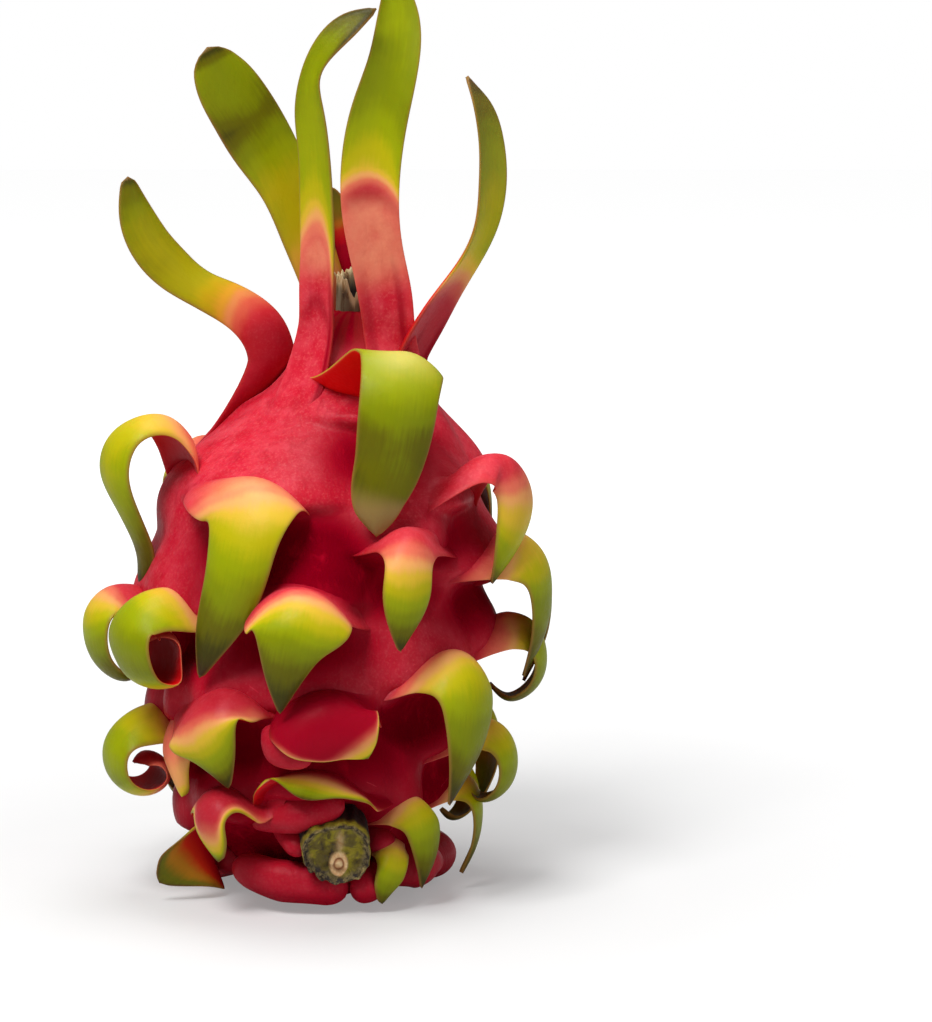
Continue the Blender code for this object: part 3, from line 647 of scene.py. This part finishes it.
# Middle surface of a scale and the way it faces: the middle line is a spline, the level direction set square
# to it and turned by twist carries the width, the margins bend back by cup times the width and ruffle a
# little, lean lifts one margin over the other, and the end is rounded
def bladeSurface(scale, across, along, seed):
    knots = chordKnots(scale["path"])
    step = 1e-4
    middle = spline(knots, scale["path"], along)
    forward = unit(spline(knots, scale["path"], np.clip(along + step, 0, 1)) -
                   spline(knots, scale["path"], np.clip(along - step, 0, 1)))
    turn = math.radians(scale["azimuth"])
    level = np.array([-math.sin(turn), math.cos(turn), 0])
    side = unit(level - (forward @ level)[:, None] * forward)
    twists = scale.get("twist", [0, 0])
    twist = np.radians(np.interp(along, np.linspace(0, 1, len(twists)), twists))[:, None]
    side = side * np.cos(twist) + np.cross(forward, side) * np.sin(twist)
    face = np.cross(side, forward)
    length = np.linalg.norm(np.diff(np.array(scale["path"], float), axis=0), axis=1).sum()
    narrowest = 0.25
    half = np.maximum(spline(knots, np.array(scale["half"], float)[:, None], along)[:, 0], narrowest)
    tipShare = max(scale["half"][-1] * 1.2, 1.0) / length
    toTip = np.clip(along - 1 + tipShare, 0, 1) / tipShare
    half = (half * np.sqrt(np.clip(1 - toTip**2, 0.0025, 1)))[:, None, None]
    u = across[None, :, None]
    middle, side, face, forward = (part[:, None, :] for part in (middle, side, face, forward))
    waves = wobble(along[:, None] * length / blade["ruffleLong"], 2.5 * np.sign(across)[None, :], seed)
    bend = blade["cup"] * half * u**2 + (blade["ruffle"] * waves)[..., None] * np.abs(u)**3
    surface = middle + side * half * u + face * bend
    surface[..., 2:] += scale.get("lean", 0) * half * u * smoothStep(along / 0.4)[:, None, None]
    return surface, face, half[:, :, 0], length


# A whole scale: over its root the face is laid on the skin and then peels away from it, the margins last,
# so that skin and scale are one surface; the inner side follows at the scale's thickness. Ripeness follows
# the scale's stops along its length and runs ahead at the margins; flush, the darker crimson that is partly
# painted shade, streaks, dry and the crest's painted highlight are soft bands along it, the root carries on
# the skin's painted shade, and the inner side has painted shade near the root
def makeScale(name, scale, hangs, seed):
    angle = np.linspace(0, 2 * math.pi, 2 * blade["acrossPoints"], endpoint=False)
    across = -np.cos(angle)
    onFace = np.sin(angle) >= 0
    along = np.linspace(0, 1, blade["rows"])
    along = 0.75 * along + 0.25 * along**2
    surface, face, half, length = bladeSurface(scale, across, along, seed)
    shown = -1 if hangs else 1
    swell = np.abs(np.sin(angle)) ** 0.7
    thick = blade["rootThick"] + (blade["tipThick"] - blade["rootThick"]) * along ** 0.6
    offset = (thick[:, None] * swell[None, :] * np.where(onFace, 0.5, -0.5))[..., None] * shown
    surface = surface + face * offset
    turn, level = seatOf(scale)
    knots = chordKnots(scale["path"])
    until = min(max(knots[1] * 1.25, 0.12), 0.4)
    reach = np.clip(along / until, 0, 1)[:, None]
    lift = scale.get("rise", blade["rise"]) * (1 if hangs else -1)

    def eachSide(key, usual):
        left, right = scale.get(key, usual)
        return np.where(across > 0, right, left)[None, :]

    square = (across**2)[None, :]
    arch = eachSide("arch", blade["arch"]) * square * (1 if hangs else 0)
    foldShare = 1 - smoothStep((along - until) / (1.3 * until))
    surface[..., 2] -= foldShare[:, None] * arch * half
    drop = eachSide("drop", blade["drop"]) * square * (1 if hangs else 0.5)
    height = level + lift * (1 - reach) * (1 - 0.8 * square * (1 if hangs else 0)) - drop
    height = np.clip(height, blade["lowestSeat"], blade["highestSeat"])
    radius = bareRadius(height)
    usualRoot = scale["half"][0] * blade["root"]
    wide = eachSide("root", (usualRoot, usualRoot)) * (1 - 0.12 * reach)
    azimuth = turn + wide * across[None, :] / np.maximum(radius, 6)
    skin, skinShade = skinPoints(azimuth, height)
    outwards = skinNormals(azimuth, height)
    sunk = 0.12 - 0.6 * (1 - smoothStep(reach * 5)) - 1.1 * np.abs(across[None, :]) ** 6
    depth = np.where(onFace[None, :], sunk, sunk - thick[:, None] * swell[None, :])
    laid = skin + outwards * depth[..., None]
    lag = eachSide("lag", blade["lag"]) * square
    peel = smoothStep((reach - lag) / (1 - lag))[..., None]
    points = laid + (surface - laid) * peel
    points[..., 2] = np.maximum(points[..., 2], 0.0)
    start, yellow, green, tip = scale.get("tone", blade["tone"])
    stops = scale.get("ripe", [(0, 0), (start, 0.1), (yellow, 0.46), (green, 0.7), (tip, 0.88), (1, 1)])
    ahead = scale.get("arched", 0) * (across**2 + 0.5 * across**3)
    ripe = np.interp(along[:, None] + ahead[None, :], *np.transpose(stops))
    margin = np.abs(across)[None, :] ** scale.get("marginPower", 3)
    ripe = ripe + scale.get("marginTone", blade["marginTone"]) * margin \
        * smoothStep((along - until * 0.5) / until)[:, None] * (1 - 0.8 * ripe)
    ripe = np.where(onFace[None, :], ripe, ripe * scale.get("innerRipe", 1))
    dry = 0.75 * smoothStep((along - scale.get("dryFrom", 2)) / 0.08) \
        + scale.get("brown", 0) * smoothStep((along - 0.55) / 0.2)
    first, last = scale.get("salmon", (2, 3))
    salmon = smoothStep((along - first) / 0.1) * smoothStep((last - along) / 0.06 + 0.5)
    flush = 0.4 * np.exp(-((along[:, None] + ahead[None, :] - scale.get("flush", 9)) / 0.024) ** 2) \
        * (1 - 0.7 * square)
    inside = (np.where(onFace, 0.0, scale.get("innerTone", 1.0)) * smoothStep(swell * 3))[None, :]
    fromMargin = (1 - np.abs(across)[None, :]) * half
    edge = np.exp(-(fromMargin / blade["marginDepth"]) ** 2) * smoothStep((reach - 0.5) * 2)
    # A darker crimson over the scale's pink part, partly its own colour and partly painted shade
    crimsonShade = scale.get("crimsonShade", 0) * (1 - smoothStep((ripe - 0.12) / 0.3)) * smoothStep(reach * 1.5)
    rootwards = smoothStep((0.34 - along) / 0.2)[:, None] * (0 if hangs else 0.5)
    streaks = np.clip(wobble(7 * across[None, :], 3 * along[:, None], seed + 7), 0, 1) * rootwards
    innerFade = 1 - smoothStep(along / scale.get("innerUntil", 0.45))
    # Painted shade: on the face the skin's painted shade runs on where the scale still lies on it, and the
    # flush and streaks, which are the scale's own colour, and the darker crimson are added to it; on the
    # inner side painted shade fades out along the scale
    rootShade = np.where(onFace[None, :], skinShade * (1 - peel[..., 0]) + flush + crimsonShade + streaks,
                         scale.get("innerShade", 0.55) * innerFade[:, None])
    # A painted highlight on the fold's crest, strongest across the middle of the face
    crestAt, crestShare = scale.get("crestHighlight", (0, 0))
    crestHighlight = np.where(onFace, (1 - across**2) ** 1.5, 0)[None, :] * crestShare \
        * np.exp(-((along - crestAt) / 0.08) ** 2)[:, None]
    uv = np.stack([across[None, :] * half, np.broadcast_to((along * length)[:, None], ripe.shape)], -1)
    values = dict(ripe=ripe, inside=inside, edge=edge, hollow=rootShade, salmon=salmon[:, None],
                  dry=dry[:, None], crestHighlight=crestHighlight)
    return makeTube(name, points, scaleSkin, "fruit", values, uv)


makeBody()
print("body made")
strapSeeds, scaleSeeds, lobeSeeds = 100, 200, 300
for number, (name, scale) in enumerate(straps.items()):
    makeScale("strap_" + name, scale, False, strapSeeds + number)
for number, (name, scale) in enumerate(hanging.items()):
    makeScale("scale_" + name, scale, True, scaleSeeds + number)
print("scales made")


# Fleshy lobes round the base

# Each is a fat roll along its path
lobes = dict(
    frontRoll=dict(path=[(-16, -24.5, 9.6), (-7, -29.5, 7.6), (5, -30, 6.4)], radius=[4.2, 5.2, 4.8]),
    underHood=dict(path=[(-11.5, -30, 22.5), (-4, -34.5, 25), (5, -36, 28)], radius=[2.4, 4.4, 3.6]),
    curledEdge=dict(path=[(-9, -41, 46), (-7, -44, 43.5), (-2, -45, 42)], radius=[3.2, 3.9, 3.4]),
    frontPad=dict(path=[(13, -22, 8), (13.2, -30.5, 6)], radius=[3.6, 4.2]),
    sidePad=dict(path=[(13, -20, 19), (17.8, -27.5, 16.8)], radius=[3.4, 3.4]),
    stalkPad=dict(path=[(-7, -24, 20), (-3.6, -33, 17.2)], radius=[3.6, 3.0]),
    rightFoot=dict(path=[(18, -19, 9), (24.5, -17, 9.5), (28, -11, 8)], radius=[5, 6.4, 4.4]),
    leftFoot=dict(path=[(-22, -6, 8), (-26, 4, 7), (-23, 13, 7)], radius=[5, 6.6, 5]),
    backLeft=dict(path=[(-19, 21, 7), (-9, 27, 6.6), (1, 27, 6)], radius=[4.5, 6.2, 4.6]),
    backRight=dict(path=[(3, 28, 6), (12, 26, 6.8), (20, 19, 7)], radius=[4.6, 6.4, 4.6]),
    rightRoll=dict(path=[(27, 14, 7), (29, 4, 6.8), (27, -5, 7)], radius=[4.6, 6.2, 4.8]),
)


# A roll: rings square to a spline path, their radius drawn in to a round end, and a little uneven
def makeLobe(name, lobe, seed):
    rows, around = 44, 36
    along = np.linspace(0, 1, rows)
    path = np.array(lobe["path"], float)
    length = np.linalg.norm(np.diff(path, axis=0), axis=1).sum()
    reach = max(lobe["radius"])
    beyond = 0.8 * reach
    before = path[0] + unit(path[0] - path[1]) * beyond
    after = path[-1] + unit(path[-1] - path[-2]) * beyond
    ends = np.vstack([before, path, after])
    knots = chordKnots(ends)
    middle = spline(knots, ends, along)
    forward = unit(np.gradient(middle, axis=0))
    level = unit(np.cross(forward, [0, 0, 1]))
    upright = np.cross(level, forward)
    radius = np.interp(along, knots, [lobe["radius"][0], *lobe["radius"], lobe["radius"][-1]])
    endShare = reach * 1.2 / (length + 2 * beyond)
    toEnd = np.minimum(along, 1 - along) / endShare
    radius = radius * np.sqrt(np.clip(1 - (1 - np.clip(toEnd, 0, 1)) ** 2, 0.0004, 1))
    angle = np.linspace(0, 2 * math.pi, around, endpoint=False)[None, :]
    uneven = 1 + 0.06 * wobble(2.5 * np.cos(angle) + 6 * along[:, None], 2.5 * np.sin(angle), seed)
    reachAll = (radius[:, None] * uneven)[..., None]
    points = middle[:, None, :] + level[:, None, :] * reachAll * np.cos(angle)[..., None] \
        + upright[:, None, :] * reachAll * np.sin(angle)[..., None]
    points[..., 2] = np.maximum(points[..., 2], 0.0)
    ripe = 0.03 + 0.05 * wobble(angle, 5 * along[:, None], seed + 1)
    lowUnder = 8
    shade = 0.42 + 0.5 * smoothStep((lowUnder - points[..., 2]) / lowUnder)
    uv = np.stack(np.broadcast_arrays(angle * 5, along[:, None] * length), -1)
    values = dict(ripe=np.clip(ripe, 0, 1), hollow=shade)
    return makeTube(name, points, bodySkin, "fruit", values, uv)


for number, (name, lobe) in enumerate(lobes.items()):
    makeLobe("lobe_" + name, lobe, lobeSeeds + number)
print("lobes made")


# The cut end of the stalk

stalk = dict(root=(4.7, -17, 23), end=(6.7, -37.5, 16.6), radius=8.6, depth=14.0, lip=0.9, rag=0.45,
             dish=1.1, core=(0.2, -3.4), coreSize=(2.1, 3.0))


def makeCutStalk():
    made, tree, shader, place = newMaterial("cutStalk")
    blotch = noiseNode(tree, place, 230.0, 4.0, 0.6, 0.8)
    fibre = noiseNode(tree, place, 620.0, 3.0, 0.7, 0.4)
    face = rampNode(tree, blotch, [(0.3, rgb(48, 34, 8)), (0.43, rgb(98, 84, 10)),
                                   (0.56, rgb(144, 132, 16)), (0.75, rgb(176, 150, 60))])
    dry = mixColours(tree, rangeNode(tree, fibre, 0.42, 0.72), rgb(34, 20, 10), rgb(158, 138, 82))
    rimmed = mixColours(tree, attributeNode(tree, "rim"), face, dry)
    pale = mixColours(tree, rangeNode(tree, fibre, 0.35, 0.65), rgb(206, 152, 98), rgb(232, 200, 150))
    cored = mixColours(tree, attributeNode(tree, "core"), rimmed, pale)
    ringed = mixColours(tree, attributeNode(tree, "ring"), cored, rgb(146, 88, 46))
    side = mixColours(tree, attributeNode(tree, "side"), ringed, rgb(30, 16, 12))
    bump = addNode(tree, "ShaderNodeBump")
    height = mathNode(tree, "ADD", blotch, mathNode(tree, "MULTIPLY", fibre, 0.5))
    feed(tree, bump, {"Strength": 0.8, "Distance": 0.0008, "Height": height})
    feed(tree, shader, {"Base Color": side, "Roughness": rangeNode(tree, blotch, 0.3, 0.7, 0.55, 0.85),
                        "Normal": bump.outputs[0]})
    return made


# The stalk's end: a rough cylinder whose rim stands up in torn fibres round a sunken face, and on the
# face a low oval core; rings run from the back, over the rim, to the middle of the face
def makeStalk():
    rings, around = 90, 120
    root, end = np.array(stalk["root"], float), np.array(stalk["end"], float)
    axis = unit(end - root)
    level = unit(np.cross(axis, [0, 0, 1])) * -1
    upright = np.cross(axis, level)
    upright = upright * np.sign(upright[2])
    s = np.linspace(0, 1, rings)[:, None]
    angle = np.linspace(0, 2 * math.pi, around, endpoint=False)[None, :]
    onSide, onRim = 0.3, 0.45
    rimShare = np.clip((s - onSide) / (onRim - onSide), 0, 1)
    faceShare = np.clip((s - onRim) / (1 - onRim), 0, 1)
    radius = stalk["radius"] * (1 - 0.13 * rimShare - 0.86 * faceShare)
    torn = wobble(9 * np.cos(angle) * 2, 9 * np.sin(angle) * 2, 41, 9)
    broadTorn = wobble(3 * np.cos(angle), 3 * np.sin(angle), 44)
    radius = radius * (1 + 0.03 * torn * (1 - faceShare) + 0.04 * broadTorn)
    lip = np.sin(math.pi * rimShare) * (stalk["lip"] + stalk["rag"] * torn)
    across, up = radius * np.cos(angle), radius * np.sin(angle)
    coreX, coreY = stalk["core"]
    oval = np.hypot((across - coreX) / stalk["coreSize"][0], (up - coreY) / stalk["coreSize"][1])
    core = smoothStep((1.25 - oval) / 0.3) * (faceShare > 0)
    ring = np.exp(-((oval - 0.55) / 0.13) ** 2) * (faceShare > 0)
    uneven = 0.35 * wobble(across * 1.3, up * 1.3, 42) * smoothStep(faceShare * 3)
    sunk = stalk["dish"] * smoothStep(faceShare * 4) - uneven
    out = -stalk["depth"] * (1 - np.clip(s / onSide, 0, 1)) + lip - sunk + 0.9 * core - 0.4 * ring
    streak = np.exp(-((across - coreX - 0.3) / 0.9) ** 2) * smoothStep((up - coreY - 2) / 2) \
        * smoothStep((6.5 - up) / 3) * (faceShare > 0)
    points = end + level * across[..., None] + upright * up[..., None] + axis * out[..., None]
    rim = np.broadcast_to(smoothStep(rimShare * 3) * (1 - smoothStep(faceShare * 5)), core.shape)
    side = np.broadcast_to(1 - smoothStep((s - onSide * 0.8) / 0.05), core.shape)
    return makeTube("stalkEnd", points, makeCutStalk(), "stalk_end",
                    dict(core=np.maximum(core, 0.6 * streak), ring=ring, rim=rim, side=side))


makeStalk()
print("stalk made")


# The withered flower

flower = dict(foot=(9.6, 19.6, 135.5), top=(9.6, 20.3, 153.5), radius=4.9, wall=0.9, deep=12.0, notch=8.5,
              notchWide=0.85, strands=9)


# How far the torn V at the front comes down, from the sideways and frontward shares of a direction
def notchAt(sideways, frontward):
    return flower["notch"] * np.clip(1 - np.abs(sideways) / flower["notchWide"], 0, 1) * (frontward > 0)


def makeDryFlower():
    made, tree, shader, place = newMaterial("dryFlower")
    upright = noiseNode(tree, stretch(tree, place, (1.0, 1.0, 0.2)), 600.0, 4.0, 0.65, 0.5)
    paper = rampNode(tree, upright, [(0.28, rgb(96, 62, 34)), (0.42, rgb(170, 136, 86)),
                                     (0.54, rgb(214, 194, 146)), (0.75, rgb(232, 218, 178))])
    dark = mixColours(tree, attributeNode(tree, "dark"), paper, rgb(24, 12, 8))
    bump = addNode(tree, "ShaderNodeBump")
    feed(tree, bump, {"Strength": 0.7, "Distance": 0.0005, "Height": upright})
    feed(tree, shader, {"Base Color": dark, "Roughness": 0.8, "Normal": bump.outputs[0]})
    return made


dryFlower = makeDryFlower()


# The withered stub: a cup whose outside runs up from its socket, over a torn rim and down to a dark floor
def makeFlowerCup():
    rings, around = 60, 72
    foot, top = np.array(flower["foot"], float), np.array(flower["top"], float)
    axis = unit(top - foot)
    level = unit(np.cross(axis, [0, 1, 0]))
    other = np.cross(axis, level)
    height = np.linalg.norm(top - foot)
    s = np.linspace(0, 1, rings)[:, None]
    angle = np.linspace(0, 2 * math.pi, around, endpoint=False)[None, :]
    outside = np.clip(s / 0.5, 0, 1)
    inwards = np.clip((s - 0.5) / 0.5, 0, 1)
    x, y = np.cos(angle), np.sin(angle)
    torn = 1.2 * wobble(4 * x, 4 * y, 51) + 0.6 * wobble(14 * x, 14 * y, 52)
    backwards = level[1] * x + other[1] * y
    torn = torn - notchAt(np.sqrt(np.clip(1 - backwards**2, 0, 1)), -backwards)
    up = (height + torn) * outside - (flower["deep"] + torn) * smoothStep(inwards * 1.1)
    radius = flower["radius"] * (1 - 0.1 * outside) * (1 + 0.05 * wobble(6 * x, 6 * y, 53))
    floorShare = smoothStep((inwards - 0.6) / 0.4)
    radius = radius - flower["wall"] * smoothStep(inwards * 4) - 0.7 * flower["radius"] * floorShare
    points = foot + level * (radius * x)[..., None] + other * (radius * y)[..., None] + axis * up[..., None]
    belowRim = (height + torn) * (1 - outside)
    # Painted shade: the inside of the cup is painted near black; the outside darkens below a pale band at
    # the rim
    dark = np.maximum(smoothStep(inwards * 2.2), 0.75 * smoothStep((belowRim - 1.2) / 2.5))
    return makeTube("flowerCup", points, dryFlower, "flower_remnant", dict(dark=dark))


# One dried thread: a thin tube that leaves the rim, leans out and curls, narrowing to its tip
def makeStrand(name, number, draw):
    rings, around = 16, 6
    top = np.array(flower["top"], float)
    heading = 2 * math.pi * number / flower["strands"] + draw.uniform(-0.2, 0.2)
    start = top + (flower["radius"] - 0.8) * np.array([math.cos(heading), math.sin(heading), 0]) \
        - (0, 0, 3 + notchAt(math.cos(heading), -math.sin(heading)))
    long = draw.uniform(2.4, 4)
    lean = draw.uniform(-0.25, 0.3)
    curl = draw.uniform(-1.2, 1.2)
    t = np.linspace(0, 1, rings)[:, None]
    outwards = np.array([math.cos(heading), math.sin(heading), 0])
    aside = np.array([-math.sin(heading), math.cos(heading), 0])
    middle = start + outwards * lean * long * t**1.5 + aside * curl * 1.6 * np.sin(2.2 * t) * t \
        + np.array([0, 0, 1]) * long * (t - 0.18 * t**3)
    angle = np.linspace(0, 2 * math.pi, around, endpoint=False)[None, :, None]
    radius = (draw.uniform(0.3, 0.6) * (1 - 0.75 * t) + 0.05)[:, None, :]
    points = middle[:, None, :] + radius * (outwards * np.cos(angle) + aside * 1.8 * np.sin(angle))
    return makeTube(name, points, dryFlower, "flower_remnant",
                    dict(dark=np.full(points.shape[:2], draw.uniform(0, 0.2))))


makeFlowerCup()
strandSeed = 60
strandDraw = np.random.default_rng(strandSeed)
for number in range(flower["strands"]):
    makeStrand(f"flowerStrand_{number}", number, strandDraw)
print("flower made")


# Camera, floor and light

camera = dict(distance=900, elevation=8, aim=(37.75, 0, 95.17), lens=126.8)


def makeCamera():
    lens = bpy.data.cameras.new("camera")
    lens.lens = camera["lens"]
    lens.clip_start = 0.01
    shown = bpy.data.objects.new("camera", lens)
    tilt = math.radians(camera["elevation"])
    x, y, z = camera["aim"]
    away = camera["distance"]
    shown.location = (x * mm, (y - away * math.cos(tilt)) * mm, (z + away * math.sin(tilt)) * mm)
    shown.rotation_euler = (math.pi / 2 - tilt, 0, 0)
    bpy.context.scene.collection.objects.link(shown)
    bpy.context.scene.camera = shown


# The staged floor glows more the further it is from the fruit, so that it fades into the white background
# and keeps the shadow; to other rays than the camera's it glows less, and the white world does the same
studio = dict(
    floorHalf=4.0, grey=0.6, rough=0.6, glowNear=0.27, glowFar=0.85, nearBy=0.1, farOff=0.7, bounced=0.2,
    aim=(0, 0, 0.09),
    lamps=dict(key=((-0.4, -0.66, 1.2), 0.5, 15.0), fill=((0.8, -0.7, 0.45), 0.9, 1.6),
               top=((0.0, 0.1, 1.2), 0.6, 7.0)),
)


def cameraShare(tree):
    ray = addNode(tree, "ShaderNodeLightPath").outputs["Is Camera Ray"]
    return rangeNode(tree, ray, 0, 1, studio["bounced"], 1.0)


def makeFloor():
    mesh = bpy.data.meshes.new("floor")
    reach = studio["floorHalf"]
    mesh.from_pydata([(-reach, -reach, 0), (reach, -reach, 0), (reach, reach, 0), (-reach, reach, 0)], [],
                     [(0, 1, 2, 3)])
    paint, tree, shader, place = newMaterial("floorPaint")
    away = feed(tree, addNode(tree, "ShaderNodeVectorMath", operation="LENGTH"), {0: place}).outputs["Value"]
    glow = rangeNode(tree, away, studio["nearBy"], studio["farOff"], studio["glowNear"], studio["glowFar"])
    feed(tree, shader, {
        "Base Color": (studio["grey"], studio["grey"], studio["grey"], 1), "Roughness": studio["rough"],
        "Emission Color": (1, 1, 1, 1),
        "Emission Strength": mathNode(tree, "MULTIPLY", glow, cameraShare(tree))})
    mesh.materials.append(paint)
    floor = bpy.data.objects.new("floor", mesh)
    bpy.context.scene.collection.objects.link(floor)


def makeLights():
    world = bpy.data.worlds.new("studio")
    world.use_nodes = True
    tree = world.node_tree
    feed(tree, tree.nodes["Background"], {"Color": (1, 1, 1, 1), "Strength": cameraShare(tree)})
    bpy.context.scene.world = world
    for name, (place, size, power) in studio["lamps"].items():
        lamp = bpy.data.lights.new(name, "AREA")
        lamp.size = size
        lamp.energy = power
        shown = bpy.data.objects.new(name, lamp)
        shown.location = place
        x, y, z = np.array(studio["aim"]) - np.array(place)
        shown.rotation_euler = (math.atan2(math.hypot(x, y), -z), 0, math.atan2(y, x) - math.pi / 2)
        bpy.context.scene.collection.objects.link(shown)


bpy.context.scene.view_settings.view_transform = "Standard"
makeCamera()
makeFloor()
makeLights()
print("camera, floor and lights set")
